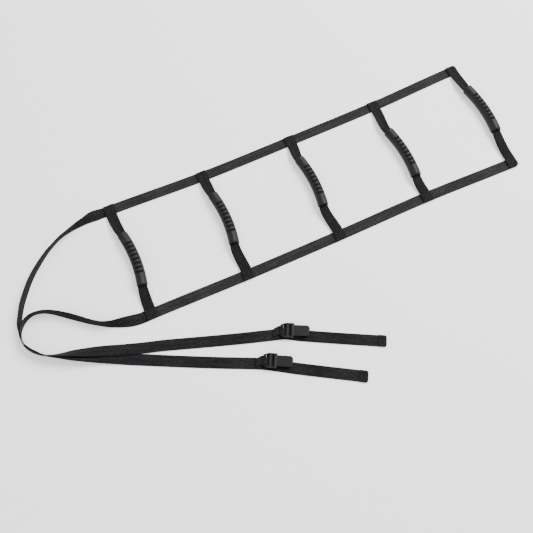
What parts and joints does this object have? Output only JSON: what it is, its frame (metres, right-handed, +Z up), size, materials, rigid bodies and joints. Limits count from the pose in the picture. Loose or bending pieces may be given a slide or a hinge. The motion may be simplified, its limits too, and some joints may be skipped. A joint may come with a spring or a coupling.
{
  "type": "webbing pull-up ladder",
  "caption": "Flat webbing ladder with ribbed banana hand grips on its rungs and two long strap tails with cam-lever buckles.",
  "frame": {"origin": "on the floor, under the middle of the ladder panel (the tails are left out of that middle)", "axes": "+X along the rails towards the end rung, +Y towards the left rail, +Z up from the floor the ladder lies on"},
  "size_m": [1.1993, 0.6086, 0.025],
  "materials": {
    "rail_webbing": "black woven webbing",
    "tail_webbing": "black woven webbing",
    "rung_webbing": "black woven webbing, folded and sewn",
    "tab_webbing": "black woven webbing",
    "grip_rubber": "satin black moulded grip",
    "frame_plastic": "satin black moulding",
    "lever_plastic": "satin black moulding",
    "pin_steel": "plain steel"
  },
  "bodies": {
    "section_1": {"left_rail_1": "rail_webbing", "right_rail_1": "rail_webbing", "rung_strap_1": "rung_webbing", "grip_1": "grip_rubber", "left_tail_strap": "tail_webbing", "right_tail_strap": "tail_webbing", "left_buckle_tab": "tab_webbing", "right_buckle_tab": "tab_webbing"},
    "section_2": {"left_rail_2": "rail_webbing", "right_rail_2": "rail_webbing", "rung_strap_2": "rung_webbing", "grip_2": "grip_rubber"},
    "section_3": {"left_rail_3": "rail_webbing", "right_rail_3": "rail_webbing", "rung_strap_3": "rung_webbing", "grip_3": "grip_rubber"},
    "section_4": {"left_rail_4": "rail_webbing", "right_rail_4": "rail_webbing", "rung_strap_4": "rung_webbing", "grip_4": "grip_rubber"},
    "section_5": {"left_rail_5": "rail_webbing", "right_rail_5": "rail_webbing", "rung_strap_5": "rung_webbing", "grip_5": "grip_rubber"},
    "left_buckle": {"left_buckle_frame": "frame_plastic", "left_lever_pin": "pin_steel"},
    "left_lever": {"left_buckle_lever": "lever_plastic"},
    "right_buckle": {"right_buckle_frame": "frame_plastic", "right_lever_pin": "pin_steel"},
    "right_lever": {"right_buckle_lever": "lever_plastic"}
  },
  "joints": [
    {"name": "fold_1", "type": "hinge", "parent": "section_1", "child": "section_2", "pos_m": [-0.34375, 0, 0.0015], "axis": [0, -1, 0], "range_deg": [0, 75]},
    {"name": "fold_2", "type": "hinge", "parent": "section_2", "child": "section_3", "pos_m": [-0.11805, 0, 0.0015], "axis": [0, -1, 0], "range_deg": [0, 75]},
    {"name": "fold_3", "type": "hinge", "parent": "section_3", "child": "section_4", "pos_m": [0.10765, 0, 0.0015], "axis": [0, -1, 0], "range_deg": [0, 75]},
    {"name": "fold_4", "type": "hinge", "parent": "section_4", "child": "section_5", "pos_m": [0.33335, 0, 0.0015], "axis": [0, -1, 0], "range_deg": [0, 75]},
    {"name": "left_buckle_swing", "type": "hinge", "parent": "section_1", "child": "left_buckle", "pos_m": [-0.2763, -0.3247, 0.0053], "axis": [-0.4695, -0.8829, 0], "range_deg": [0, 110]},
    {"name": "left_lever_open", "type": "hinge", "parent": "left_buckle", "child": "left_lever", "pos_m": [-0.25599, -0.3355, 0.0089], "axis": [-0.4695, -0.8829, 0], "range_deg": [0, 100]},
    {"name": "right_buckle_swing", "type": "hinge", "parent": "section_1", "child": "right_buckle", "pos_m": [-0.2165, -0.2814, 0.0053], "axis": [-0.4493, -0.8934, 0], "range_deg": [0, 110]},
    {"name": "right_lever_open", "type": "hinge", "parent": "right_buckle", "child": "right_lever", "pos_m": [-0.19595, -0.29173, 0.0089], "axis": [-0.4493, -0.8934, 0], "range_deg": [0, 100]}
  ]
}
